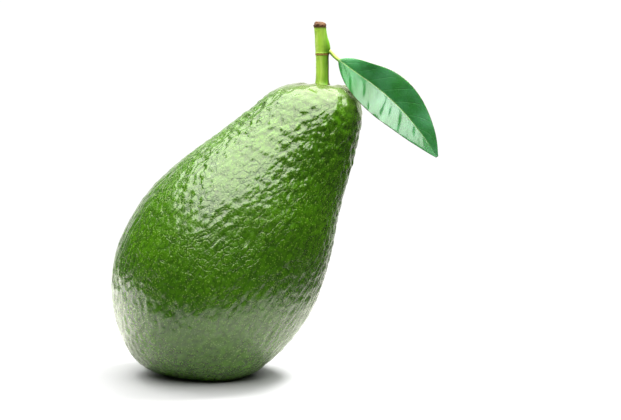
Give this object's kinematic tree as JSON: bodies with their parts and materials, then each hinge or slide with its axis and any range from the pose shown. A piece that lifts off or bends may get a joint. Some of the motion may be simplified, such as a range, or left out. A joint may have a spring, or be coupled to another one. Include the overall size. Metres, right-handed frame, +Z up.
{
  "type": "avocado",
  "caption": "Whole green avocado, pear-shaped with pebbled skin, with a short cut stem and one folded leaf, leaning and resting on a small flat spot.",
  "frame": {"origin": "the middle of the small flat spot that the fruit rests on", "axes": "+Z up, out of the surface it rests on; +X the way the stem end leans; -Y the front, which the leaf faces"},
  "size_m": [0.112, 0.068, 0.1222],
  "materials": {
    "skin": "gloss",
    "stem": "satin",
    "leaf": "satin"
  },
  "bodies": {
    "root": {"fruit": "skin", "stem": "stem", "leaf": "leaf"}
  },
  "joints": []
}
